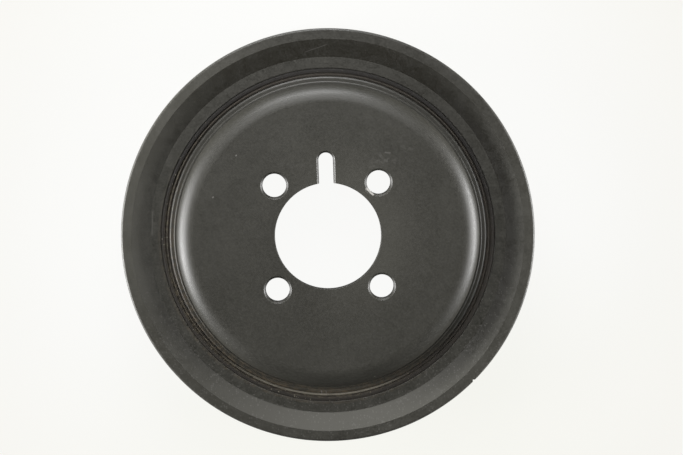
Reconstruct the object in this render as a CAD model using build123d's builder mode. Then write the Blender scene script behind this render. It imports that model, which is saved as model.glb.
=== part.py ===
from build123d import *
import math
import os

# Harmonic balancer: a cast hub, a rubber ring and a grooved pulley ring.
# Millimetres. The origin is the centre of the bore on the hub's rear mounting face.
# +Z points forward, out of the engine, and +Y runs through the key slot.
# Each radius is the one inside it plus a named width, from the bore out to the belt track.

# Hub web, the plate that the crankshaft bolts clamp
web_thickness = 6.0
bore_radius = 20.0

# Four bolts on a circle, turned 45 degrees from the key slot
bolt_count = 4
bolt_hole_diameter = 9.0
bolt_first_angle = 45.0
bore_to_bolt_hole = 3.2

# Key slot, open to the bore, with a round end
slot_width = 5.5
slot_depth = 11.4

# Sloped front edge of each bolt hole and of the key slot
hole_edge_width = 0.8

# Hub front: flat, round shoulder over a low wall, and stepped rim
bolt_hole_to_shoulder = 18.1
shoulder_width = 6.85
shoulder_drop = 4.5
shoulder_wall_height = 1.1
rim_land_width = 1.1
rim_step_drop = 0.75
rim_step_width = 1.75

# Hub wall, which carries the rubber ring
hub_wall_thickness = 6.0
inner_corner_chamfer = 3.0
hub_tail = 2.05

# Rubber ring, squeezed between the hub and the pulley ring
rubber_thickness = 3.0
rubber_front_rise = 0.2
rubber_length = 22.8
bead_width = 0.65
bead_rise = 0.4
valley_width = 0.9
valley_depth = 0.6
crown_slope_width = 0.7
crown_slope_drop = 0.4

# Pulley ring: front face
inner_land_width = 4.2
inner_land_drop = 0.5
funnel_width = 6.8
funnel_drop = 2.1
front_land_width = 4.0
ring_edge_chamfer = 0.8

# Pulley ring: belt track between two lips
front_lip_width = 4.0
back_lip_width = 4.64
lip_height = 2.6
groove_count = 6
groove_pitch = 3.56
groove_angle = 40.0
rib_crest_width = 0.84

# Timing mark, a notch across the front lip
notch_angle = 313.2
notch_width = 1.2
notch_depth = 0.75

# Radii, from the bore outwards
bolt_circle_radius = bore_radius + bore_to_bolt_hole + bolt_hole_diameter / 2
flat_radius = bolt_circle_radius + bolt_hole_diameter / 2 + bolt_hole_to_shoulder
rim_land_inner = flat_radius + shoulder_width
rim_land_outer = rim_land_inner + rim_land_width
rubber_inner = rim_land_outer + rim_step_width
hub_wall_inner = rubber_inner - hub_wall_thickness
rubber_outer = rubber_inner + rubber_thickness
funnel_inner = rubber_outer + inner_land_width
funnel_outer = funnel_inner + funnel_width
ring_outer = funnel_outer + front_land_width
track_radius = ring_outer - lip_height

# Heights, from the web's front face backwards
web_front = web_thickness
shoulder_foot = web_front - shoulder_drop
rim_land_height = shoulder_foot - shoulder_wall_height
rim_step_height = rim_land_height - rim_step_drop
rubber_front = rim_step_height + rubber_front_rise
rubber_back = rubber_front - rubber_length
hub_back = rubber_back - hub_tail
inner_land_height = rim_land_height - inner_land_drop
ring_front = inner_land_height + funnel_drop
track_front = ring_front - front_lip_width
track_back = track_front - groove_count * groove_pitch
ring_back = track_back - back_lip_width


def corner(sketch, x, y):
    """The corner of a sketch that lies nearest to a point."""
    return sketch.vertices().sort_by_distance((x, y))[0]


# Hub: a turned cup, closed at the front by the web
with BuildPart() as hub:
    with BuildSketch(Plane.XZ) as hub_section:
        with BuildLine():
            flat = Line((bore_radius, web_front), (flat_radius, web_front))
            shoulder = TangentArc(flat @ 1, (rim_land_inner, shoulder_foot), tangent=flat % 1)
            Polyline(
                shoulder @ 1,
                (rim_land_inner, rim_land_height),
                (rim_land_outer, rim_land_height),
                (rim_land_outer, rim_step_height),
                (rubber_inner, rim_step_height),
                (rubber_inner, hub_back),
                (hub_wall_inner, hub_back),
                (hub_wall_inner, 0),
                (bore_radius, 0),
                flat @ 0,
            )
        make_face()
        chamfer(corner(hub_section, hub_wall_inner, 0), inner_corner_chamfer)
    revolve(axis=Axis.Z)

    # Bolt holes through the web
    with BuildSketch(Plane.XY.offset(web_front)):
        with PolarLocations(bolt_circle_radius, bolt_count, start_angle=bolt_first_angle):
            Circle(bolt_hole_diameter / 2)
    extrude(amount=-web_thickness, mode=Mode.SUBTRACT)

    # Key slot, from inside the bore to its round end
    slot_end = bore_radius + slot_depth - slot_width / 2
    with BuildSketch(Plane.XY.offset(web_front)):
        with Locations((0, slot_end / 2)):
            Rectangle(slot_width, slot_end)
        with Locations((0, slot_end)):
            Circle(slot_width / 2)
    extrude(amount=-web_thickness, mode=Mode.SUBTRACT)

    # Sloped edges: every edge of the front flat inside the shoulder, except the bore's
    flat_edges = hub.edges().filter_by_position(Axis.Z, web_front, web_front)
    sloped_edges = flat_edges.filter_by(
        lambda edge: edge.geom_type != GeomType.CIRCLE or edge.radius < bore_radius
    )
    chamfer(sloped_edges, hole_edge_width)

hub.part.label = "hub"


# Rubber ring: a bead against the hub, a valley, and a crown beside the pulley ring
with BuildPart() as rubber_ring:
    with BuildSketch(Plane.XZ):
        with BuildLine():
            Polyline(
                (rubber_inner, rubber_front - bead_rise),
                (rubber_inner + bead_width, rubber_front),
                (rubber_inner + bead_width + valley_width / 2, rubber_front - valley_depth),
                (rubber_inner + bead_width + valley_width, rubber_front),
                (rubber_outer - crown_slope_width, rubber_front),
                (rubber_outer, rubber_front - crown_slope_drop),
                (rubber_outer, rubber_back),
                (rubber_inner, rubber_back),
                close=True,
            )
        make_face()
    revolve(axis=Axis.Z)

rubber_ring.part.label = "rubber_ring"


# Pulley ring: a heavy ring with a funnel-shaped front face and a ribbed belt track
groove_half_width = (groove_pitch - rib_crest_width) / 2
groove_depth = groove_half_width / math.tan(math.radians(groove_angle / 2))

groove_points = []
for number in range(groove_count):
    middle = track_front - (number + 0.5) * groove_pitch
    groove_points += [
        (track_radius, middle + groove_half_width),
        (track_radius - groove_depth, middle),
        (track_radius, middle - groove_half_width),
    ]

with BuildPart() as pulley_ring:
    with BuildSketch(Plane.XZ) as ring_section:
        with BuildLine():
            Polyline(
                (rubber_outer, inner_land_height),
                (funnel_inner, inner_land_height),
                (funnel_outer, ring_front),
                (ring_outer, ring_front),
                (ring_outer, track_front),
                (track_radius, track_front),
                *groove_points,
                (track_radius, track_back),
                (ring_outer, track_back),
                (ring_outer, ring_back),
                (rubber_outer, ring_back),
                close=True,
            )
        make_face()
        chamfer(corner(ring_section, ring_outer, ring_front), ring_edge_chamfer)
    revolve(axis=Axis.Z)

    # Timing notch, a V across the front lip
    with BuildSketch(Plane.XY.offset(ring_front).rotated((0, 0, notch_angle))):
        with BuildLine():
            Polyline(
                (ring_outer - notch_depth, 0),
                (ring_outer + notch_depth, notch_width),
                (ring_outer + notch_depth, -notch_width),
                close=True,
            )
        make_face()
    extrude(amount=-front_lip_width, mode=Mode.SUBTRACT)

pulley_ring.part.label = "pulley_ring"


os.makedirs("parts", exist_ok=True)
export_step(hub.part, "parts/hub.step")
export_step(rubber_ring.part, "parts/rubber_ring.step")
export_step(pulley_ring.part, "parts/pulley_ring.step")
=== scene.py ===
import math
from collections import namedtuple

import bmesh
import bpy
from bpy.props import FloatProperty, FloatVectorProperty, IntProperty, PointerProperty
from bpy.types import NodeSocket, Operator, Panel, PropertyGroup
from mathutils import Matrix, Vector


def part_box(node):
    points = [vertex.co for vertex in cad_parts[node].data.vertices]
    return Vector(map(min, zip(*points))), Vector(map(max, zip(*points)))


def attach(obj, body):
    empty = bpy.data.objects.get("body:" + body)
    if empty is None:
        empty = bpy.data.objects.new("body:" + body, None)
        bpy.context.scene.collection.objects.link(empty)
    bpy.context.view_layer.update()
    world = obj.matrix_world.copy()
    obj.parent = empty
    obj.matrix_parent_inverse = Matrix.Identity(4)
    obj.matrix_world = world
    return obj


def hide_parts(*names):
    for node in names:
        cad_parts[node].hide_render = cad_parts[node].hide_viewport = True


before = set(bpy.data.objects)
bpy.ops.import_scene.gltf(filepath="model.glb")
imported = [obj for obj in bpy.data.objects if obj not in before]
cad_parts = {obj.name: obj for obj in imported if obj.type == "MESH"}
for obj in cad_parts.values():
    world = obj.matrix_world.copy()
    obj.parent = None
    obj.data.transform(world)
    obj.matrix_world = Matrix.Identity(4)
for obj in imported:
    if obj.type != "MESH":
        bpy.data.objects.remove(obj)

bl_info = {
    "name": "Harmonic Balancer",
    "version": (1, 0, 0),
    "blender": (4, 5, 0),
    "location": "View3D > Sidebar > Balancer",
    "description": "Builds the hub, rubber ring and ribbed ring of a harmonic balancer, and its stage",
    "category": "Object",
}

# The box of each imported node, in metres
HUB_LOW, HUB_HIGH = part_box("hub")
RUBBER_LOW, RUBBER_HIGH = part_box("rubber_ring")
RING_LOW, RING_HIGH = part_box("pulley_ring")
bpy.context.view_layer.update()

# Modelling
SMOOTH_ANGLE = math.radians(14)
MERGE_DISTANCE = 1e-6
CORNER_TOLERANCE = 20 * MERGE_DISTANCE
CUT_OVERLAP = 0.001
FACING = 0.9
SHOULDER_STEPS = 30
ROUND_STEPS = 8
GROOVE_ROUND_STEPS = 6
BORE_ROUND_STEPS = 4
HOLE_SIDES = 96

# The sloped edge of a hole: its last tilt, and the share of its width that each rounding takes
SINK_LAST_TILT = math.radians(8)
SINK_LOW_ROUND = 0.1
SINK_HIGH_ROUND = 0.25

# The chip lies to the lower left of its bolt hole
CHIP_TOWARD = Vector((-0.80, -0.60, 0.0))
CHIP_UNEVENNESS = 1 / 6
CHIP_SEED = 3

# Colours
BLACK_PAINT = (0.0297, 0.0286, 0.0235)
# Paler and darker paint that stand for painted light and painted shade
PAINTED_LIGHT_TONE = (0.062, 0.060, 0.050)
PAINTED_SHADE_TONE = (0.0110, 0.0098, 0.0066)
BARE_METAL = (0.45, 0.4365, 0.4095)
SCRATCH = (0.16, 0.1552, 0.1456)
PALE_DUST = (0.16, 0.155, 0.145)
LOOSE_DUST = (0.20, 0.19, 0.17)
BROWN_DUST = (0.11, 0.085, 0.055)
# Pale dusty colour of the bead's line at the bottom, which is partly a painted highlight
BEAD_HIGHLIGHT_AND_DUST = (0.150, 0.138, 0.110)
VALLEY_GRAIN = (0.24, 0.215, 0.165)
# Dark rubber, which on the crown's upper half is painted shade
DARK_RUBBER_AND_SHADE = (0.006, 0.005, 0.004)
FLOOR_TO_LAMPS = (0.8, 0.8, 0.79)
FLOOR_BELOW = (0.935, 0.935, 0.885)

# Finishes
PAINT_ROUGHNESS = 0.44
PAINT_SPECULAR = 0.5
RUBBER_ROUGHNESS = 0.78
RUBBER_SPECULAR = 0.35
FLOOR_ROUGHNESS = 0.9
FLOOR_SPECULAR = 0.2
FLOOR_GLOW = 0.94

# Directions seen from the front, and a factor that leaves out the height
DOWN = (0.0, -1.0, 0.0)
LOWER_LEFT = (-0.55, -0.83, 0.0)
FLAT = (1.0, 1.0, 0.0)

# A place of painted light or painted shade in the paint's colour: its limits, the radius where it starts and
# where it is full, the side of the axis that it lies on, where on that side it starts and is full, its
# strength and colour
Place = namedtuple("Place", "inner outer start full toward side_start side_full amount colour")
# Painted light on the hub's flat, paler toward the bore and toward the right
HUB_PAINTED_LIGHT_PLACES = (
    Place(0.0, 0.05, 0.0420, 0.0200, (0.97, 0.24, 0.0), -1.0, 1.0, 0.42, PAINTED_LIGHT_TONE),
)
# Painted light on the funnel at the bottom and the outer half of its sides; painted shade at the top, upper
# right, lower left and the funnel's inner right
RING_PAINTED_LIGHT_PLACES = (
    Place(0.0672, 0.0740, 0.0671, 0.0676, DOWN, 0.45, 1.0, 0.85, PAINTED_LIGHT_TONE),
    Place(0.0672, 0.0800, 0.0675, 0.0738, (-1.0, 0.0, 0.0), -0.05, 0.9, 0.55, PAINTED_LIGHT_TONE),
    Place(0.0672, 0.0800, 0.0680, 0.0738, (1.0, -0.25, 0.0), 0.2, 0.95, 0.35, PAINTED_LIGHT_TONE),
    Place(0.0672, 0.0740, 0.0671, 0.0673, (0.0, 1.0, 0.0), 0.2, 1.0, 0.80, PAINTED_SHADE_TONE),
    Place(0.0672, 0.0740, 0.0737, 0.0690, (0.98, 0.20, 0.0), 0.0, 0.9, 0.95, PAINTED_SHADE_TONE),
    Place(0.0741, 0.0800, 0.0740, 0.0742, (0.45, 0.89, 0.0), 0.45, 1.0, 0.42, PAINTED_SHADE_TONE),
    Place(0.0630, 0.0671, 0.0629, 0.0631, (0.20, 0.98, 0.0), 0.45, 1.0, 0.32, PAINTED_SHADE_TONE),
    Place(0.0672, 0.0800, 0.0671, 0.0673, (-0.71, -0.71, 0.0), 0.75, 1.0, 0.30, PAINTED_SHADE_TONE),
)

# Dust settled in a crease
DustLine = namedtuple("DustLine", "radius width amount")
HUB_DUST_LINES = (DustLine(0.0588, 0.0018, 0.45), DustLine(0.0599, 0.0008, 0.5))
RING_DUST_LINES = (DustLine(0.0634, 0.0010, 0.25),)

# A scuff or a thin mark, seen from the front
Mark = namedtuple("Mark", "middle along half_length half_width amount colour")
HUB_SCUFFS = (
    Mark((0.0228, 0.0282, 0.0), (0.97, -0.24, 0.0), 0.0042, 0.0026, 0.30, PALE_DUST),
    Mark((0.0305, 0.0322, 0.0), (0.93, -0.36, 0.0), 0.0030, 0.0009, 0.22, PALE_DUST),
    Mark((0.0165, 0.0250, 0.0), (0.80, 0.60, 0.0), 0.0090, 0.0040, 0.16, PALE_DUST),
    Mark((-0.0120, 0.0270, 0.0), (0.99, -0.10, 0.0), 0.0080, 0.0012, 0.16, PALE_DUST),
)
RING_SCUFFS = (Mark((0.030, -0.052, 0.0), (0.87, 0.49, 0.0), 0.014, 0.004, 0.12, PALE_DUST),)
HUB_MARKS = (
    Mark((0.0233, 0.0306, 0.0), (0.99, -0.12, 0.0), 0.0013, 0.00040, 0.28, SCRATCH),
    Mark((0.0162, 0.0162, 0.0), (0.71, -0.71, 0.0), 0.0022, 0.00055, 0.80, BARE_METAL),
    Mark((-0.0335, 0.0314, 0.0), (0.8, 0.6, 0.0), 0.0004, 0.00036, 0.60, SCRATCH),
    Mark((-0.0427, 0.0160, 0.0), (0.6, 0.8, 0.0), 0.0004, 0.00036, 0.60, SCRATCH),
    Mark((-0.0043, -0.0598, 0.0), (0.07, -1.0, 0.0), 0.0012, 0.00028, 0.80, SCRATCH),
    Mark((-0.0026, -0.0600, 0.0), (0.05, -1.0, 0.0), 0.0012, 0.00026, 0.60, SCRATCH),
)
RING_MARKS = (
    Mark((-0.0021, 0.0706, 0.0), (0.955, 0.297, 0.0), 0.0050, 0.00022, 0.18, SCRATCH),
    Mark((-0.0660, 0.0068, 0.0), (-0.08, -0.997, 0.0), 0.0055, 0.00032, 0.16, SCRATCH),
)

# Soft boxes: azimuth from the picture's right and elevation in degrees, distance, width and height in
# metres, power in watts
Lamp = namedtuple("Lamp", "name azimuth elevation distance width height power")
LAMPS = (
    Lamp("right_low", 0, 3, 0.90, 0.56, 0.082, 9.2),
    Lamp("right_middle_up", 10, 13.4, 0.90, 0.29, 0.082, 2.0),
    Lamp("right_middle_down", 350, 13.4, 0.90, 0.29, 0.082, 1.2),
    Lamp("right_high", 0, 27.5, 0.90, 0.56, 0.173, 3.8),
    Lamp("left_low", 190, 3, 0.90, 0.29, 0.082, 6.0),
    Lamp("left_low_up", 172, 3, 0.90, 0.29, 0.082, 2.2),
    Lamp("left_low_down", 199, 8.2, 0.90, 0.29, 0.082, 1.9),
    Lamp("left_middle", 190, 13.4, 0.90, 0.29, 0.082, 2.3),
    Lamp("left_middle_up", 172, 13.4, 0.90, 0.29, 0.082, 0.9),
    Lamp("left_high", 184, 27.5, 0.90, 0.56, 0.173, 6.4),
    Lamp("top_low", 97, 16.5, 0.60, 0.40, 0.115, 0.50),
    Lamp("top_middle", 97, 27.5, 0.60, 0.40, 0.115, 2.75),
    Lamp("top_high", 97, 55, 0.45, 0.30, 0.175, 0.72),
)


# Settings

def length_setting(name, description, default):
    """A length in metres."""
    return FloatProperty(name=name, description=description, default=default, unit="LENGTH")


def angle_setting(name, description, degrees):
    """An angle, whose default is given in degrees."""
    return FloatProperty(name=name, description=description, default=math.radians(degrees), subtype="ANGLE")


def colour_setting(name, description, default):
    """A colour."""
    return FloatVectorProperty(name=name, description=description, default=default, size=3, subtype="COLOR")


def count_setting(name, description, default, least=1):
    """A whole number."""
    return IntProperty(name=name, description=description, default=default, min=least)


class HubSizes(PropertyGroup):
    """Sizes of the hub that its packed box doesn't give"""

    bore_radius: length_setting("Bore radius", "Radius of the centring bore", 0.020)
    shoulder_start: length_setting(
        "Flat radius", "Radius where the flat ends and the shoulder starts", 0.0503)
    shoulder_width: length_setting("Shoulder width", "Width of the rounded shoulder", 0.00685)
    shoulder_drop: length_setting("Shoulder drop", "Height of the rounded shoulder", 0.0045)
    shoulder_wall: length_setting(
        "Shoulder wall", "Height of the low wall under the rounded shoulder", 0.0011)
    rim_step_radius: length_setting("Rim step radius", "Radius of the step in the hub's rim", 0.05825)
    rim_step_drop: length_setting("Rim step drop", "Height of the step in the hub's rim", 0.00075)
    rim_rounding: length_setting("Rim rounding", "Rounding of the edge of the step in the hub's rim", 0.0006)
    wall_thickness: length_setting("Wall thickness", "Thickness of the wall that carries the rubber", 0.006)
    seat_edge_width: length_setting(
        "Seat edge width", "Width of the rim's sloped edge beside the rubber", 0.0009)
    seat_edge_rounding: length_setting("Seat edge rounding", "Rounding where that slope begins", 0.0006)
    seat_edge_slope: angle_setting("Seat edge slope", "Slope of that edge", 34)
    inner_rounding: length_setting(
        "Inner rounding", "Rounding between the web and the wall, inside the cup", 0.003)
    tail_rounding: length_setting("Rear edge rounding", "Rounding of the wall's rear edges", 0.0005)
    bore_rounding: length_setting("Bore edge rounding", "Rounding of the bore's edges", 0.00015)
    bolt_circle_radius: length_setting("Bolt circle radius", "Radius of the circle of bolt holes", 0.0277)
    bolt_hole_radius: length_setting("Bolt hole radius", "Radius of each bolt hole", 0.0045)
    bolt_count: count_setting("Bolt holes", "Number of bolt holes", 4)
    slot_radius: length_setting("Slot half width", "Half the width of the key slot", 0.00275)
    slot_reach: length_setting("Slot reach", "Distance from the axis to the slot's round end", 0.0314)
    sink_width: length_setting("Sink width", "Width of the sloped edge of the holes and the slot", 0.0008)
    sink_depth: length_setting("Sink depth", "Depth of the sloped edge of the holes and the slot", 0.0008)
    chip_radius: length_setting("Chip radius", "Radius of the chipped place beside one bolt hole", 0.0014)
    chip_depth: length_setting("Chip depth", "Depth of the chipped place", 0.0003)
    paint_colour: colour_setting("Paint", "Colour of the satin black paint", BLACK_PAINT)
    steps: count_setting("Steps", "Divisions round the axis", 360, 32)


class RubberSizes(PropertyGroup):
    """Sizes of the rubber ring's front"""

    bead_width: length_setting("Bead width", "Width of the bead against the hub", 0.00065)
    bead_rise: length_setting("Bead rise", "How far the bead rises away from the hub", 0.0004)
    valley_width: length_setting("Valley width", "Width of the valley between bead and crown", 0.0009)
    valley_depth: length_setting("Valley depth", "Depth of the valley", 0.0006)
    crown_slope: length_setting("Crown slope", "Width of the crown's outer slope", 0.0007)
    crown_drop: length_setting("Crown drop", "Height of the crown's outer slope", 0.0003)
    rounding: length_setting("Rounding", "Rounding of the rubber's corners", 0.00014)
    rubber_colour: colour_setting("Rubber", "Colour of the brown-black rubber", (0.026, 0.022, 0.017))
    dust_colour: colour_setting("Dust", "Colour of the dust in the valley", (0.13, 0.11, 0.075))
    steps: count_setting("Steps", "Divisions round the axis", 360, 32)


class RingSizes(PropertyGroup):
    """Sizes of the pulley ring that its packed box doesn't give"""

    inner_land_height: length_setting("Inner land height", "Height of the land beside the rubber", -0.0001)
    funnel_inner: length_setting("Funnel inner radius", "Radius where the funnel starts", 0.0672)
    funnel_outer: length_setting(
        "Funnel outer radius", "Radius where the funnel meets the outer land", 0.074)
    edge_rounding: length_setting("Front edge rounding", "Rounding of the outer front edge", 0.0009)
    bore_rounding: length_setting("Inner edge rounding", "Rounding of the edge beside the rubber", 0.0003)
    rear_rounding: length_setting("Rear edge rounding", "Rounding of the rear edges", 0.0008)
    front_lip_width: length_setting("Front lip width", "Width of the lip in front of the belt track", 0.004)
    lip_height: length_setting("Lip height", "Height of the lips above the ribs", 0.0026)
    lip_rounding: length_setting("Lip rounding", "Rounding of the lips' inner edges", 0.0005)
    groove_count: count_setting("Grooves", "Number of belt grooves", 6)
    groove_pitch: length_setting("Groove pitch", "Distance from groove to groove", 0.00356)
    groove_angle: angle_setting("Groove angle", "Angle between the sides of a groove", 40)
    crest_width: length_setting("Crest width", "Width of the flat crest between two grooves", 0.00084)
    crest_rounding: length_setting("Crest rounding", "Rounding of the crests' edges", 0.0002)
    root_rounding: length_setting("Root rounding", "Rounding of the grooves' roots", 0.0003)
    notch_angle: angle_setting("Notch angle", "Angle of the timing notch about the axis", 313.2)
    notch_width: length_setting("Notch width", "Width of the timing notch at the edge", 0.0012)
    notch_depth: length_setting("Notch depth", "Depth of the timing notch", 0.00075)
    paint_colour: colour_setting("Paint", "Colour of the satin black paint", BLACK_PAINT)
    steps: count_setting("Steps", "Divisions round the axis", 360, 32)


class StageSettings(PropertyGroup):
    """Camera, lamps and floor"""

    view_distance: length_setting(
        "View distance", "Distance from the camera to the point it looks at", 1.2014)
    lens: FloatProperty(
        name="Lens", description="Focal length on a sensor 36 mm wide", default=168.1, unit="CAMERA")
    aim_right: length_setting(
        "Aim right", "Offset of the aimed point from the axis, to the picture's right", 0.00506)
    aim_up: length_setting("Aim up", "Offset of the aimed point from the axis, to the picture's top", 0.00302)
    aim_height: length_setting("Aim height", "Height of the aimed point", 0.002)
    roll: angle_setting("Roll", "Turn of the part in the picture, against the clock", 1.9)
    lean_up: angle_setting("Lean up", "Lean of the camera off the axis, to the picture's top", 3.3)
    lean_left: angle_setting("Lean left", "Lean of the camera off the axis, to the picture's left", 0.8)
    lamp_reach: FloatProperty(
        name="Lamp reach", description="Factor on the distance of every lamp from the part", default=1.0)
    fill_strength: FloatProperty(
        name="Fill", description="Strength of the even light from all around", default=0.01)
    backdrop_strength: FloatProperty(
        name="Backdrop", description="Brightness of the backdrop to the camera, 1 for white", default=1.0)
    floor_size: length_setting("Floor size", "Width of the floor", 4.0)
    floor_gap: length_setting("Floor gap", "Gap between the part's rear face and the floor", 0.0001)
    # Floor colours to the camera: painted light under the openings and painted shade further out
    floor_painted_light_colour: colour_setting(
        "Floor centre", "Colour of the floor seen through the openings", (1.0, 1.0, 0.985))
    floor_colour: colour_setting("Floor", "Colour of the floor round the part", (0.956, 0.956, 0.939))
    floor_painted_shade_colour: colour_setting(
        "Floor edge", "Colour of the floor further out", (0.905, 0.896, 0.856))


# Modelling

def deselect():
    """Clears the selection, which an operator would otherwise act on."""
    if bpy.context.object and bpy.context.object.mode != "OBJECT":
        bpy.ops.object.mode_set(mode="OBJECT")
    bpy.ops.object.select_all(action="DESELECT")


def activate(piece):
    """Selects one piece alone and makes it the active one."""
    deselect()
    piece.select_set(True)
    bpy.context.view_layer.objects.active = piece


def open_for_edit(piece, kind, wanted=lambda part: True):
    """Enters edit mode with the wanted vertices, edges or faces selected."""
    bpy.ops.object.mode_set(mode="EDIT")
    bpy.ops.mesh.select_mode(type=kind)
    bpy.ops.mesh.select_all(action="DESELECT")
    mesh = bmesh.from_edit_mesh(piece.data)
    parts = {"VERT": mesh.verts, "EDGE": mesh.edges, "FACE": mesh.faces}[kind]
    chosen = [part for part in parts if wanted(part)]
    if not chosen:
        raise RuntimeError(f"{piece.name}: nothing there to select")
    for part in chosen:
        part.select_set(True)
    bmesh.update_edit_mesh(piece.data)


def close_edit():
    """Leaves edit mode."""
    bpy.ops.object.mode_set(mode="OBJECT")


def merge_and_close():
    """Merges doubled points, turns all normals outward and leaves edit mode."""
    bpy.ops.mesh.select_all(action="SELECT")
    bpy.ops.mesh.remove_doubles(threshold=MERGE_DISTANCE)
    bpy.ops.mesh.normals_make_consistent(inside=False)
    close_edit()


def pull_along(path, extrude):
    """Extrudes the selection along a path of (radius, height) corners, from the first one on."""
    radius, height = path[0]
    for next_radius, next_height in path[1:]:
        extrude(TRANSFORM_OT_translate={"value": (0, 0, next_height - height)})
        growth = next_radius / radius
        bpy.ops.transform.resize(value=(growth, growth, 1), center_override=(0, 0, 0))
        radius, height = next_radius, next_height


def lathe(name, profile, steps):
    """A turned body: a ring of points is pulled along the closed profile of (radius, height) corners."""
    deselect()
    radius, height = profile[0]
    bpy.ops.mesh.primitive_circle_add(vertices=steps, radius=radius, location=(0, 0, height))
    piece = bpy.context.object
    piece.name = name
    piece.data.name = name
    bpy.ops.object.transform_apply()
    open_for_edit(piece, "EDGE")
    pull_along(profile + profile[:1], bpy.ops.mesh.extrude_edges_move)
    merge_and_close()
    return piece


def bend(radius, height, rounding, last_tilt, steps):
    """Corners along an arc that leaves a level and tilts down."""
    tilts = [last_tilt * number / steps for number in range(steps + 1)]
    return [(radius + rounding * math.sin(tilt), height - rounding * (1 - math.cos(tilt))) for tilt in tilts]


def shoulder_points(radius, height, width, drop):
    """Corners along an arc that leaves a level and comes down by the drop over the width."""
    rounding = (width ** 2 + drop ** 2) / (2 * drop)
    return bend(radius, height, rounding, math.asin(width / rounding), SHOULDER_STEPS)


def sloped_edge_points(radius, height, width, rounding, slope):
    """Corners of an outer edge that bends out of a level and slopes straight down to the radius."""
    points = bend(radius - width, height, rounding, slope, ROUND_STEPS)
    last_radius, last_height = points[-1]
    return [*points, (radius, last_height - (radius - last_radius) * math.tan(slope))]


def round_corners(piece, corners, width, segments=ROUND_STEPS):
    """Rounds the rings of edges that lie at the given (radius, height) corners."""

    def lies_at(vertex, corner):
        return (abs(vertex.co.xy.length - corner[0]) < CORNER_TOLERANCE
                and abs(vertex.co.z - corner[1]) < CORNER_TOLERANCE)

    def wanted(edge):
        first, second = edge.verts
        return any(lies_at(first, corner) and lies_at(second, corner) for corner in corners)

    open_for_edit(piece, "EDGE", wanted)
    bpy.ops.mesh.bevel(offset=width, offset_type="OFFSET", segments=segments, profile=0.5, affect="EDGES")
    close_edit()


def sink_profile(width, depth):
    """Steps out and up along a sloped edge that runs softly out of the wall and into the face."""
    slope = math.atan2(depth, width)
    low_round, high_round = SINK_LOW_ROUND * width, SINK_HIGH_ROUND * width
    steps = []
    for number in range(1, ROUND_STEPS):
        tilt = math.pi / 2 + (slope - math.pi / 2) * number / (ROUND_STEPS - 1)
        steps.append((low_round * (1 - math.sin(tilt)), low_round * math.cos(tilt)))
    out, rise = steps[-1]
    straight = width - out - high_round * (math.sin(slope) - math.sin(SINK_LAST_TILT))
    out, rise = out + straight, rise + straight * math.tan(slope)
    for number in range(ROUND_STEPS):
        tilt = slope + (SINK_LAST_TILT - slope) * number / (ROUND_STEPS - 1)
        steps.append((out + high_round * (math.sin(slope) - math.sin(tilt)),
                      rise + high_round * (math.cos(tilt) - math.cos(slope))))
    return steps


def sunk_cutter(name, radius, low, high, width, depth):
    """A cutter for a hole with a sloped front edge: a cylinder that flares where it meets the face."""
    deselect()
    steps = sink_profile(width, depth)
    overshoot = 0.01 * depth
    straight_top = high + overshoot - steps[-1][1]
    bpy.ops.mesh.primitive_cylinder_add(
        vertices=HOLE_SIDES, radius=radius, depth=straight_top - low,
        location=(0, 0, (straight_top + low) / 2))
    cutter = bpy.context.object
    cutter.name = name
    bpy.ops.object.transform_apply()
    open_for_edit(cutter, "FACE", lambda face: face.normal.z > FACING)
    path = [(radius, straight_top), *((radius + out, straight_top + rise) for out, rise in steps)]
    path.append((path[-1][0], high + 2 * depth))
    pull_along(path, bpy.ops.mesh.extrude_region_move)
    close_edit()
    return cutter


def stretch_to_slot(cutter, length):
    """Pulls the lower half of a round cutter down, so that it cuts a slot with straight sides."""
    open_for_edit(cutter, "VERT", lambda vertex: vertex.co.y < -MERGE_DISTANCE)
    bpy.ops.transform.translate(value=(0, -length, 0))
    close_edit()


def chip_cutter(sizes, angle, front):
    """A rough shallow bowl beside one bolt hole, where the paint and the edge are chipped."""
    deselect()
    middle = Vector((math.cos(angle), math.sin(angle), 0)) * sizes.bolt_circle_radius
    bpy.ops.mesh.primitive_ico_sphere_add(
        subdivisions=4, radius=sizes.chip_radius, location=middle + CHIP_TOWARD * sizes.bolt_hole_radius)
    cutter = bpy.context.object
    cutter.name = "chip_cutter"
    cutter.scale = (1.0, 1.0, sizes.chip_depth / sizes.chip_radius)
    cutter.location.z = front
    bpy.ops.object.transform_apply()
    open_for_edit(cutter, "VERT")
    bpy.ops.transform.vertex_random(offset=sizes.chip_depth * CHIP_UNEVENNESS, seed=CHIP_SEED)
    close_edit()
    return cutter


def notch_cutter(name, radius, depth, width, low, high, angle):
    """A V-shaped cutter that stands across the outer edge: a block whose inner side is drawn to a line."""
    deselect()
    bpy.ops.mesh.primitive_cube_add(size=1, location=(radius, 0, (low + high) / 2))
    cutter = bpy.context.object
    cutter.name = name
    cutter.scale = (2 * depth, 2 * width, high - low)
    bpy.ops.object.transform_apply()
    open_for_edit(cutter, "FACE", lambda face: face.normal.x < -FACING)
    bpy.ops.transform.resize(value=(1, 0, 1), center_override=(0, 0, 0))
    merge_and_close()
    cutter.rotation_euler.z = angle
    bpy.ops.object.transform_apply()
    return cutter


def copied(original, name, place, angle):
    """A copy of a cutter with its own mesh, moved out from the axis and turned about it."""
    copy = original.copy()
    copy.data = original.data.copy()
    copy.name = name
    bpy.context.collection.objects.link(copy)
    activate(copy)
    copy.matrix_world = Matrix.Rotation(angle, 4, "Z") @ Matrix.Translation(place)
    bpy.ops.object.transform_apply()
    return copy


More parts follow.
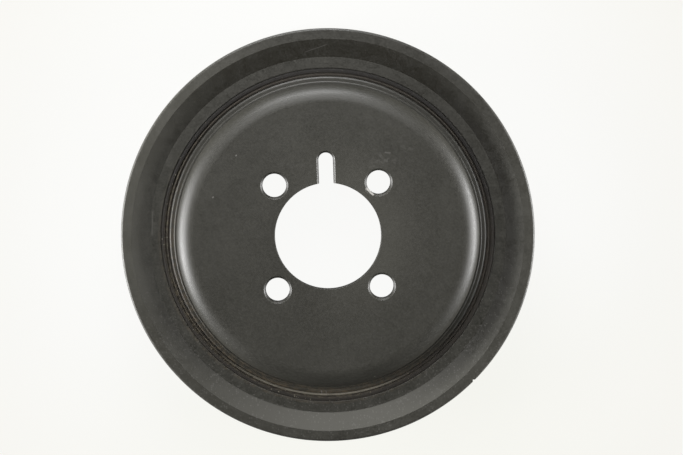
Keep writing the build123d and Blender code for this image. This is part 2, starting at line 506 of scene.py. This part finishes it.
def cut(piece, cutter):
    """Cuts the cutter's shape out of the piece and removes the cutter."""
    activate(piece)
    faces_before = len(piece.data.polygons)
    modifier = piece.modifiers.new("Cut", "BOOLEAN")
    modifier.operation = "DIFFERENCE"
    modifier.solver = "EXACT"
    modifier.object = cutter
    bpy.ops.object.modifier_apply(modifier=modifier.name)
    if len(piece.data.polygons) == faces_before:
        raise RuntimeError(f"{cutter.name} cuts nothing out of {piece.name}")
    bpy.data.objects.remove(cutter)


def finish_surface(piece, material):
    """Smooth shading with crisp edges, even normals beside the cuts, and the finish."""
    activate(piece)
    bpy.ops.object.mode_set(mode="EDIT")
    merge_and_close()
    bpy.ops.object.shade_smooth_by_angle(angle=SMOOTH_ANGLE)
    modifier = piece.modifiers.new("Even normals", "WEIGHTED_NORMAL")
    modifier.keep_sharp = True
    bpy.ops.object.modifier_apply(modifier=modifier.name)
    piece.data.materials.clear()
    piece.data.materials.append(material)


# Shader nodes

def feed(tree, socket, value):
    """Links the input to another socket, or sets it to a value."""
    if isinstance(value, NodeSocket):
        tree.links.new(value, socket)
    else:
        socket.default_value = value


def maths(tree, operation, *values):
    """One Math node fed by sockets or numbers. Gives its output."""
    node = tree.nodes.new("ShaderNodeMath")
    node.operation = operation
    for value, socket in zip(values, node.inputs):
        feed(tree, socket, value)
    return node.outputs[0]


def product(tree, first, *others):
    """Sockets or numbers, multiplied."""
    for other in others:
        first = maths(tree, "MULTIPLY", first, other)
    return first


def vector_maths(tree, operation, *values, output="Vector"):
    """One Vector Math node fed by sockets or vectors. Gives the named output."""
    node = tree.nodes.new("ShaderNodeVectorMath")
    node.operation = operation
    for value, socket in zip(values, node.inputs):
        feed(tree, socket, value)
    return node.outputs[output]


def noise(tree, position, scale, detail, roughness, distortion=0.0):
    """A noise texture over a position. Gives its value."""
    node = tree.nodes.new("ShaderNodeTexNoise")
    settings = {"Vector": position, "Scale": scale, "Detail": detail, "Roughness": roughness,
                "Distortion": distortion}
    for key, value in settings.items():
        feed(tree, node.inputs[key], value)
    return node.outputs["Fac"]


def ramp(tree, value, low, high):
    """A smooth step from 0 at low to 1 at high."""
    node = tree.nodes.new("ShaderNodeMapRange")
    node.interpolation_type = "SMOOTHSTEP"
    for key, setting in {"Value": value, "From Min": low, "From Max": high}.items():
        feed(tree, node.inputs[key], setting)
    return node.outputs["Result"]


def fading(tree, value, low, high):
    """A smooth step from 1 at low to 0 at high."""
    return maths(tree, "SUBTRACT", 1.0, ramp(tree, value, low, high))


def mixed(tree, factor, first, second):
    """A colour mix of two sockets or colours."""
    node = tree.nodes.new("ShaderNodeMix")
    node.data_type = "RGBA"
    feed(tree, node.inputs[0], factor)
    for colour, socket in ((first, node.inputs[6]), (second, node.inputs[7])):
        feed(tree, socket, colour if isinstance(colour, NodeSocket) else (*colour, 1))
    return node.outputs[2]


# Shader groups

def new_group(name, inputs, outputs):
    """An empty shader group with named sockets. Gives it with its given values and its results."""
    group = bpy.data.node_groups.new(name, "ShaderNodeTree")
    group.interface.new_socket("Position", in_out="INPUT", socket_type="NodeSocketVector")
    for socket_name, value in inputs.items():
        kind = {1: "Float", 3: "Vector", 4: "Color"}[len(value) if isinstance(value, tuple) else 1]
        socket = group.interface.new_socket(socket_name, in_out="INPUT", socket_type="NodeSocket" + kind)
        socket.default_value = value
    for socket_name, kind in outputs.items():
        group.interface.new_socket(socket_name, in_out="OUTPUT", socket_type="NodeSocket" + kind)
    return group, group.nodes.new("NodeGroupInput").outputs, group.nodes.new("NodeGroupOutput").inputs


def film_group(name):
    """Clouding, grain and orange peel of a sprayed paint film or of moulded rubber."""
    group, given, result = new_group(
        name,
        {"Colour": (0.03, 0.03, 0.03, 1), "Roughness": 0.5, "Clouding": 0.1, "Mottle": 0.1, "Grain": 0.1},
        {"Colour": "Color", "Roughness": "Float", "Height": "Float"})

    def texture(scale, detail, roughness):
        return maths(group, "SUBTRACT", noise(group, given["Position"], scale, detail, roughness), 0.5)

    cloud = texture(scale=70, detail=3.0, roughness=0.55)
    mottle = texture(scale=330, detail=2.0, roughness=0.6)
    grain = texture(scale=1400, detail=3.0, roughness=0.7)
    peel = noise(group, given["Position"], scale=420, detail=2.0, roughness=0.4)
    clouded = product(group, cloud, given["Clouding"])
    mottled = maths(group, "MULTIPLY_ADD", mottle, given["Mottle"], clouded)
    uneven = maths(group, "MULTIPLY_ADD", grain, given["Grain"], mottled)
    factor = maths(group, "ADD", uneven, 1.0)
    feed(group, result["Colour"], vector_maths(group, "MULTIPLY", given["Colour"], factor))
    sheen_change = 0.35
    feed(group, result["Roughness"], maths(group, "MULTIPLY_ADD", uneven, sheen_change, given["Roughness"]))
    grain_height = 0.5
    feed(group, result["Height"], maths(group, "MULTIPLY_ADD", grain, grain_height, peel))
    return group


def band_group(name):
    """A soft ring at a radius from the axis."""
    group, given, result = new_group(
        name, {"Radius": 0.06, "Width": 0.001}, {"Mask": "Float", "Radius": "Float"})
    flat = vector_maths(group, "MULTIPLY", given["Position"], FLAT)
    radius = vector_maths(group, "LENGTH", flat, output="Value")
    away = maths(group, "ABSOLUTE", maths(group, "SUBTRACT", radius, given["Radius"]))
    share = maths(group, "DIVIDE", away, given["Width"])
    feed(group, result["Mask"], fading(group, share, 0.35, 1.0))
    feed(group, result["Radius"], radius)
    return group


def side_group(name):
    """How far a place lies toward one side of the axis, from 0 to 1."""
    group, given, result = new_group(name, {"Toward": DOWN, "Start": -0.15, "End": 0.9}, {"Mask": "Float"})
    flat = vector_maths(group, "MULTIPLY", given["Position"], FLAT)
    unit = vector_maths(group, "NORMALIZE", flat)
    cosine = vector_maths(group, "DOT_PRODUCT", unit, given["Toward"], output="Value")
    feed(group, result["Mask"], ramp(group, cosine, given["Start"], given["End"]))
    return group


def speck_group(name):
    """Scattered specks of dust."""
    group, given, result = new_group(name, {"Scale": 300.0, "Size": 0.1, "Share": 0.1}, {"Mask": "Float"})
    cells = group.nodes.new("ShaderNodeTexVoronoi")
    feed(group, cells.inputs["Vector"], given["Position"])
    feed(group, cells.inputs["Scale"], given["Scale"])
    chance = group.nodes.new("ShaderNodeSeparateColor")
    feed(group, chance.inputs[0], cells.outputs["Color"])
    chosen = maths(group, "LESS_THAN", chance.outputs["Red"], given["Share"])
    least_size = 0.4
    reach = product(group, given["Size"], maths(group, "ADD", chance.outputs["Green"], least_size))
    near = maths(group, "LESS_THAN", cells.outputs["Distance"], reach)
    feed(group, result["Mask"], product(group, chosen, near))
    return group


def mark_group(name):
    """A thin straight mark, seen from the front."""
    group, given, result = new_group(
        name,
        {"Middle": (0.0, 0.0, 0.0), "Along": (1.0, 0.0, 0.0), "Half length": 0.005, "Half width": 0.0002},
        {"Mask": "Float"})
    offset = vector_maths(group, "SUBTRACT", given["Position"], given["Middle"])
    flat = vector_maths(group, "MULTIPLY", offset, FLAT)
    along = vector_maths(group, "DOT_PRODUCT", flat, given["Along"], output="Value")
    across = vector_maths(group, "CROSS_PRODUCT", flat, given["Along"])
    away = vector_maths(group, "LENGTH", across, output="Value")
    share_along = maths(group, "DIVIDE", maths(group, "ABSOLUTE", along), given["Half length"])
    share_across = maths(group, "DIVIDE", away, given["Half width"])
    feed(group, result["Mask"], product(
        group, fading(group, share_along, 0.7, 1.0), fading(group, share_across, 0.3, 1.0)))
    return group


GROUP_MAKERS = {
    "Surface film": film_group,
    "Ring band": band_group,
    "Side of the axis": side_group,
    "Dust specks": speck_group,
    "Straight mark": mark_group,
}


def object_position(tree):
    """Object coordinates, from one node for each material."""
    node = tree.nodes.get("Place") or tree.nodes.new("ShaderNodeTexCoord")
    node.name = "Place"
    return node.outputs["Object"]


def placed(tree, name, **values):
    """A shader group in a material, made the first time it is asked for. Gives its outputs."""
    node = tree.nodes.new("ShaderNodeGroup")
    node.node_tree = bpy.data.node_groups.get(name) or GROUP_MAKERS[name](name)
    feed(tree, node.inputs["Position"], object_position(tree))
    for key, value in values.items():
        feed(tree, node.inputs[key.replace("_", " ")], value)
    return node.outputs


def side(tree, toward, **limits):
    """The mask of one side of the axis."""
    return placed(tree, "Side of the axis", Toward=toward, **limits)["Mask"]


def ring(tree, radius, width):
    """The mask of a soft ring about the axis."""
    return placed(tree, "Ring band", Radius=radius, Width=width)["Mask"]


def from_axis(tree):
    """The distance from the axis."""
    return placed(tree, "Ring band")["Radius"]


def stroke(tree, mark):
    """The mask of a scuff or a mark, with its strength."""
    mask = placed(tree, "Straight mark", Middle=mark.middle, Along=mark.along,
                  Half_length=mark.half_length, Half_width=mark.half_width)["Mask"]
    return product(tree, mask, mark.amount)


def seen_directly(tree):
    """1 for what the camera sees, also through glass, and 0 for what only lights the part."""
    path = tree.nodes.new("ShaderNodeLightPath")
    return maths(tree, "MAXIMUM", path.outputs["Is Camera Ray"], path.outputs["Is Transmission Ray"])


# Materials

def new_material(name, roughness, specular):
    """A material with a Principled shader. Gives the material, its node tree and the shader."""
    material = bpy.data.materials.new(name)
    material.use_nodes = True
    shader = material.node_tree.nodes["Principled BSDF"]
    shader.inputs["Roughness"].default_value = roughness
    shader.inputs["Specular IOR Level"].default_value = specular
    return material, material.node_tree, shader


def finish_shader(tree, shader, tint, roughness, height, bump_distance, bump_strength):
    """Colour, roughness and fine relief."""
    bump = tree.nodes.new("ShaderNodeBump")
    feed(tree, bump.inputs["Distance"], bump_distance)
    feed(tree, bump.inputs["Strength"], bump_strength)
    feed(tree, bump.inputs["Height"], height)
    feed(tree, shader.inputs["Base Color"], tint)
    feed(tree, shader.inputs["Roughness"], roughness)
    feed(tree, shader.inputs["Normal"], bump.outputs["Normal"])


def turning_marks(tree, radius):
    """Fine rings left by the lathe tool, as a height over the radius."""
    rings = tree.nodes.new("ShaderNodeTexNoise")
    rings.noise_dimensions = "1D"
    for key, value in {"W": radius, "Scale": 5200, "Detail": 2.0}.items():
        feed(tree, rings.inputs[key], value)
    return rings.outputs["Fac"]


def paint_material(name, colour, film_values, painted_light_places, dust_lines, scuffs, marks, spots):
    """Satin black paint with clouding, grain, turning marks, settled dust, light scuffs, and places of
    painted light and painted shade.
    """
    material, tree, shader = new_material(name, PAINT_ROUGHNESS, PAINT_SPECULAR)
    position, radius = object_position(tree), from_axis(tree)
    film = placed(tree, "Surface film", Colour=(*colour, 1), Roughness=PAINT_ROUGHNESS, **film_values)
    tint = film["Colour"]

    # Paler places are painted light and darker places are painted shade, where lamps and shape leave the
    # paint too dark or too bright
    for place in painted_light_places:
        toward = side(tree, place.toward, Start=place.side_start, End=place.side_full)
        within = product(tree, maths(tree, "GREATER_THAN", radius, place.inner),
                         maths(tree, "LESS_THAN", radius, place.outer))
        mask = product(tree, ramp(tree, radius, place.start, place.full), within, toward, place.amount)
        tint = mixed(tree, mask, tint, place.colour)

    # Brown dust along the creases, strongest toward the bottom and the left
    for line in dust_lines:
        patches = ramp(tree, noise(tree, position, scale=520, detail=3.0, roughness=0.6), 0.30, 0.75)
        mask = product(
            tree, ring(tree, line.radius, line.width), side(tree, LOWER_LEFT), patches, line.amount)
        tint = mixed(tree, mask, tint, BROWN_DUST)

    # Scuffs are soft patches broken up by stretched noise, and marks are fine lines
    for scuff in scuffs:
        texture = noise(tree, position, scale=260, detail=4.0, roughness=0.7, distortion=1.5)
        mask = product(tree, stroke(tree, scuff), ramp(tree, texture, 0.42, 0.80))
        tint = mixed(tree, mask, tint, scuff.colour)
    for mark in marks:
        tint = mixed(tree, stroke(tree, mark), tint, mark.colour)

    # A few larger specks everywhere, and fine ones, four fifths of them toward the bottom
    specks = placed(tree, "Dust specks", Scale=190.0, Size=0.055, Share=0.05)["Mask"]
    tint = mixed(tree, product(tree, specks, 0.35), tint, LOOSE_DUST)
    dots = placed(tree, "Dust specks", Scale=1500.0, Size=0.35, Share=0.35)["Mask"]
    amount = maths(tree, "MULTIPLY_ADD", side(tree, DOWN), 0.8 * spots, 0.2 * spots)
    tint = mixed(tree, product(tree, dots, amount), tint, PALE_DUST)

    # The turning marks are deeper on the outer land
    plain_depth, extra_depth = 0.35, 2.0
    outer_land = ramp(tree, radius, 0.0739, 0.0742)
    depth = maths(tree, "MULTIPLY_ADD", outer_land, extra_depth, plain_depth)
    height = maths(tree, "MULTIPLY_ADD", turning_marks(tree, radius), depth, film["Height"])
    finish_shader(tree, shader, tint, film["Roughness"], height, bump_distance=0.00003, bump_strength=0.22)
    return material


def rubber_material(colour, dust_colour):
    """Dusty brown-black rubber with a pale bead line that is partly a painted highlight, painted shade on the
    crown, grains in the valley and a matt surface.
    """
    material, tree, shader = new_material("dusty_rubber", RUBBER_ROUGHNESS, RUBBER_SPECULAR)
    position = object_position(tree)
    film = placed(tree, "Surface film", Colour=(*colour, 1), Roughness=RUBBER_ROUGHNESS,
                  Clouding=0.35, Mottle=0.8, Grain=1.6)
    dusty_side = side(tree, (-0.80, -0.60, 0.0))

    # Grey-brown dust over the valley, patchy, most of it at the left and the bottom
    patches = ramp(tree, noise(tree, position, scale=620, detail=4.0, roughness=0.7), 0.38, 0.72)
    amount = maths(tree, "MULTIPLY_ADD", dusty_side, 0.62, 0.03)
    mask = product(tree, ring(tree, radius=0.0611, width=0.0011), patches, amount)
    tint = mixed(tree, mask, film["Colour"], dust_colour)

    # The crown, darker all round, and darker still in the upper half, which is painted shade
    amount = maths(tree, "MULTIPLY_ADD", side(tree, (0.05, 1.0, 0.0), Start=-0.3, End=0.6), 0.6, 0.35)
    mask = product(tree, ring(tree, radius=0.0623, width=0.0013), amount)
    tint = mixed(tree, mask, tint, DARK_RUBBER_AND_SHADE)

    # The bead's pale line at the bottom: partly dust and partly a painted highlight
    streaks = ramp(tree, noise(tree, position, scale=240, detail=3.0, roughness=0.6), 0.05, 0.5)
    low = side(tree, (-0.14, -0.99, 0.0), Start=0.78, End=0.97)
    mask = product(tree, ring(tree, radius=0.0604, width=0.0005), low, streaks, 0.8)
    tint = mixed(tree, mask, tint, BEAD_HIGHLIGHT_AND_DUST)

    specks = placed(tree, "Dust specks", Scale=1500.0, Size=0.30, Share=0.10)["Mask"]
    amount = maths(tree, "MULTIPLY_ADD", dusty_side, 0.5, 0.08)
    tint = mixed(tree, product(tree, specks, amount), tint, VALLEY_GRAIN)
    finish_shader(
        tree, shader, tint, film["Roughness"], film["Height"], bump_distance=0.00008, bump_strength=0.6)
    return material


def floor_material(painted_light_colour, colour, painted_shade_colour):
    """A pale floor: plain to the lamps, near white to the camera, with the part's shadow on it, painted light
    under the openings and painted shade further out.
    """
    material, tree, shader = new_material("pale_floor", FLOOR_ROUGHNESS, FLOOR_SPECULAR)
    radius = from_axis(tree)
    # To the camera: brightest under the openings (painted light), a little warmer below the part, and darker
    # further out (painted shade)
    tint = mixed(tree, ramp(tree, radius, 0.060, 0.076), painted_light_colour, colour)
    below = side(tree, (0.17, -0.985, 0.0), Start=0.1, End=1.0)
    mask = product(tree, below, ramp(tree, radius, 0.060, 0.085))
    tint = mixed(tree, mask, tint, FLOOR_BELOW)
    tint = mixed(tree, ramp(tree, radius, 0.08, 0.18), tint, painted_shade_colour)
    shader.inputs["Base Color"].default_value = (*FLOOR_TO_LAMPS, 1)
    glow = tree.nodes.new("ShaderNodeEmission")
    feed(tree, glow.inputs["Color"], tint)
    blend = tree.nodes.new("ShaderNodeMixShader")
    feed(tree, blend.inputs["Fac"], product(tree, seen_directly(tree), FLOOR_GLOW))
    feed(tree, blend.inputs[1], shader.outputs[0])
    feed(tree, blend.inputs[2], glow.outputs[0])
    feed(tree, tree.nodes["Material Output"].inputs["Surface"], blend.outputs[0])
    return material


# Operators

class BALANCER_OT_hub(Operator):
    """Build the hub: a turned cup with a raised flat middle, bolt holes and a key slot"""

    bl_idname = "balancer.hub"
    bl_label = "Build Hub"

    def execute(self, context):
        sizes = context.scene.balancer_hub
        front = HUB_HIGH.z
        back = HUB_LOW.z
        seat = HUB_HIGH.x
        inner = seat - sizes.wall_thickness
        rim_land = front - sizes.shoulder_drop - sizes.shoulder_wall
        rim_floor = rim_land - sizes.rim_step_drop
        hub = lathe("hub_casting", [
            (sizes.bore_radius, front),
            *shoulder_points(sizes.shoulder_start, front, sizes.shoulder_width, sizes.shoulder_drop),
            (sizes.shoulder_start + sizes.shoulder_width, rim_land),
            (sizes.rim_step_radius, rim_land),
            (sizes.rim_step_radius, rim_floor),
            *sloped_edge_points(
                seat, rim_floor, sizes.seat_edge_width, sizes.seat_edge_rounding, sizes.seat_edge_slope),
            (seat, back),
            (inner, back),
            (inner, 0.0),
            (sizes.bore_radius, 0.0),
        ], sizes.steps)
        bore_edges = [(sizes.bore_radius, front), (sizes.bore_radius, 0.0)]
        round_corners(hub, [(sizes.rim_step_radius, rim_land)], sizes.rim_rounding)
        round_corners(hub, [(inner, 0.0)], sizes.inner_rounding)
        round_corners(hub, [(seat, back), (inner, back)], sizes.tail_rounding)
        round_corners(hub, bore_edges, sizes.bore_rounding, BORE_ROUND_STEPS)

        depths = (-CUT_OVERLAP, front, sizes.sink_width, sizes.sink_depth)
        hole = sunk_cutter("bolt_hole_cutter", sizes.bolt_hole_radius, *depths)
        for number in range(sizes.bolt_count):
            angle = 2 * math.pi * (number + 0.5) / sizes.bolt_count
            cut(hub, copied(hole, "bolt_hole_copy", (sizes.bolt_circle_radius, 0, 0), angle))
            if number == 0:
                cut(hub, chip_cutter(sizes, angle, front))
        bpy.data.objects.remove(hole)

        slot = sunk_cutter("slot_cutter", sizes.slot_radius, *depths)
        slot_end = sizes.slot_reach - sizes.slot_radius
        stretch_to_slot(slot, slot_end - sizes.bore_radius / 2)
        cut(hub, copied(slot, "slot_copy", (0, slot_end, 0), 0.0))
        bpy.data.objects.remove(slot)

        finish_surface(hub, paint_material(
            "hub_satin_paint", sizes.paint_colour, {"Clouding": 0.3, "Mottle": 0.18, "Grain": 0.8},
            HUB_PAINTED_LIGHT_PLACES, HUB_DUST_LINES, HUB_SCUFFS, HUB_MARKS, spots=0.05))
        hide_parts("hub")
        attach(hub, "root")
        return {"FINISHED"}


class BALANCER_OT_rubber(Operator):
    """Build the rubber ring: a bead, a valley and a crown between the hub and the pulley ring"""

    bl_idname = "balancer.rubber"
    bl_label = "Build Rubber Ring"

    def execute(self, context):
        sizes = context.scene.balancer_rubber
        inner = HUB_HIGH.x
        outer = RUBBER_HIGH.x
        front = RUBBER_HIGH.z
        back = RUBBER_LOW.z
        bead_end = inner + sizes.bead_width
        valley = bead_end + sizes.valley_width / 2
        crown_start = bead_end + sizes.valley_width
        crown_end = outer - sizes.crown_slope
        floor = front - sizes.valley_depth
        rubber = lathe("squeezed_rubber", [
            (inner, front - sizes.bead_rise),
            (bead_end, front),
            (valley, floor),
            (crown_start, front),
            (crown_end, front),
            (outer, front - sizes.crown_drop),
            (outer, back),
            (inner, back),
        ], sizes.steps)
        round_corners(rubber, [(bead_end, front), (valley, floor)], sizes.rounding)
        round_corners(rubber, [(crown_start, front), (crown_end, front)], sizes.rounding)
        finish_surface(rubber, rubber_material(sizes.rubber_colour, sizes.dust_colour))
        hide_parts("rubber_ring")
        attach(rubber, "root")
        return {"FINISHED"}


class BALANCER_OT_ring(Operator):
    """Build the pulley ring: a funnel-shaped front, a ribbed belt track and a timing notch"""

    bl_idname = "balancer.ring"
    bl_label = "Build Pulley Ring"

    def execute(self, context):
        sizes = context.scene.balancer_ring
        bore = RUBBER_HIGH.x
        outer = RING_HIGH.x
        front = RING_HIGH.z
        back = RING_LOW.z
        track = outer - sizes.lip_height
        track_front = front - sizes.front_lip_width
        track_back = track_front - sizes.groove_count * sizes.groove_pitch
        half_groove = (sizes.groove_pitch - sizes.crest_width) / 2
        root = track - half_groove / math.tan(sizes.groove_angle / 2)
        grooves, crests, roots = [], [], []
        for number in range(sizes.groove_count):
            middle = track_front - (number + 0.5) * sizes.groove_pitch
            edges = [(track, middle + half_groove), (track, middle - half_groove)]
            crests += edges
            roots.append((root, middle))
            grooves += [edges[0], (root, middle), edges[1]]
        ring_piece = lathe("ribbed_ring", [
            (bore, sizes.inner_land_height),
            (sizes.funnel_inner, sizes.inner_land_height),
            (sizes.funnel_outer, front),
            (outer, front),
            (outer, track_front),
            (track, track_front),
            *grooves,
            (track, track_back),
            (outer, track_back),
            (outer, back),
            (bore, back),
        ], sizes.steps)
        round_corners(ring_piece, [(bore, sizes.inner_land_height)], sizes.bore_rounding)
        round_corners(ring_piece, [(outer, front)], sizes.edge_rounding)
        round_corners(ring_piece, [(outer, track_front), (outer, track_back)], sizes.lip_rounding)
        round_corners(ring_piece, [(outer, back), (bore, back)], sizes.rear_rounding)
        round_corners(ring_piece, crests, sizes.crest_rounding, GROOVE_ROUND_STEPS)
        round_corners(ring_piece, roots, sizes.root_rounding, GROOVE_ROUND_STEPS)
        cut(ring_piece, notch_cutter(
            "notch_cutter", outer, sizes.notch_depth, sizes.notch_width,
            track_front - CUT_OVERLAP, front + CUT_OVERLAP, sizes.notch_angle))
        finish_surface(ring_piece, paint_material(
            "ring_satin_paint", sizes.paint_colour, {"Clouding": 0.4, "Mottle": 0.6, "Grain": 1.5},
            RING_PAINTED_LIGHT_PLACES, RING_DUST_LINES, RING_SCUFFS, RING_MARKS, spots=0.22))
        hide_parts("pulley_ring")
        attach(ring_piece, "root")
        return {"FINISHED"}


class BALANCER_OT_stage(Operator):
    """Set the stage: pale floor, soft boxes at both sides and above the picture, and the camera"""

    bl_idname = "balancer.stage"
    bl_label = "Set Stage"

    def execute(self, context):
        settings = context.scene.balancer_stage
        turn = Matrix.Rotation(-settings.roll, 3, "Z")
        right, up = turn @ Vector((1, 0, 0)), turn @ Vector((0, 1, 0))

        deselect()
        bpy.ops.mesh.primitive_plane_add(size=settings.floor_size, location=(0, 0, 0))
        floor = context.object
        floor.name = "floor"
        floor.location.z = RING_LOW.z - settings.floor_gap
        bpy.ops.object.transform_apply()
        floor.data.materials.append(floor_material(
            settings.floor_painted_light_colour, settings.floor_colour, settings.floor_painted_shade_colour))

        world = bpy.data.worlds.new("studio")
        context.scene.world = world
        world.use_nodes = True
        tree = world.node_tree
        background = tree.nodes["Background"]
        background.inputs["Color"].default_value = (1, 1, 1, 1)
        extra = settings.backdrop_strength - settings.fill_strength
        strength = maths(tree, "MULTIPLY_ADD", seen_directly(tree), extra, settings.fill_strength)
        feed(tree, background.inputs["Strength"], strength)

        for lamp in LAMPS:
            around, above = math.radians(lamp.azimuth), math.radians(lamp.elevation)
            level = right * math.cos(around) + up * math.sin(around)
            toward = level * math.cos(above) + Vector((0, 0, math.sin(above)))
            deselect()
            bpy.ops.object.light_add(type="AREA", location=toward * lamp.distance * settings.lamp_reach)
            light = context.object
            light.name = lamp.name
            light.rotation_euler = toward.to_track_quat("Z", "Y").to_euler()
            light.data.shape = "RECTANGLE"
            light.data.size = lamp.width
            light.data.size_y = lamp.height
            light.data.energy = lamp.power
            light.visible_camera = False

        lean = (Vector((0, 0, 1)) + up * math.tan(settings.lean_up)
                - right * math.tan(settings.lean_left)).normalized()
        aim = right * settings.aim_right + up * settings.aim_up + Vector((0, 0, settings.aim_height))
        across = (right - lean * right.dot(lean)).normalized()
        deselect()
        bpy.ops.object.camera_add(location=aim + lean * settings.view_distance)
        camera = context.object
        camera.name = "photo_camera"
        camera.rotation_euler = Matrix((across, lean.cross(across), lean)).transposed().to_euler()
        camera.data.sensor_width = 36.0
        camera.data.lens = settings.lens
        context.scene.camera = camera
        context.scene.view_settings.view_transform = "Standard"
        return {"FINISHED"}


class BALANCER_PT_panel(Panel):
    """The balancer's operators and sizes"""

    bl_idname = "BALANCER_PT_panel"
    bl_label = "Harmonic Balancer"
    bl_space_type = "VIEW_3D"
    bl_region_type = "UI"
    bl_category = "Balancer"

    def draw(self, context):
        layout = self.layout
        for operator, _, name in PIECES:
            box = layout.box()
            box.operator(operator.bl_idname)
            settings = getattr(context.scene, name)
            for key in settings.__annotations__:
                box.prop(settings, key)


# Each operator with its settings, and the scene property that holds them
PIECES = (
    (BALANCER_OT_hub, HubSizes, "balancer_hub"),
    (BALANCER_OT_rubber, RubberSizes, "balancer_rubber"),
    (BALANCER_OT_ring, RingSizes, "balancer_ring"),
    (BALANCER_OT_stage, StageSettings, "balancer_stage"),
)


def register():
    for operator, settings, name in PIECES:
        bpy.utils.register_class(settings)
        setattr(bpy.types.Scene, name, PointerProperty(type=settings))
        bpy.utils.register_class(operator)
    bpy.utils.register_class(BALANCER_PT_panel)


def unregister():
    bpy.utils.unregister_class(BALANCER_PT_panel)
    for operator, settings, name in reversed(PIECES):
        bpy.utils.unregister_class(operator)
        delattr(bpy.types.Scene, name)
        bpy.utils.unregister_class(settings)


def main():
    register()
    bpy.ops.balancer.hub()
    bpy.ops.balancer.rubber()
    bpy.ops.balancer.ring()
    bpy.ops.balancer.stage()


if __name__ == "__main__":
    main()
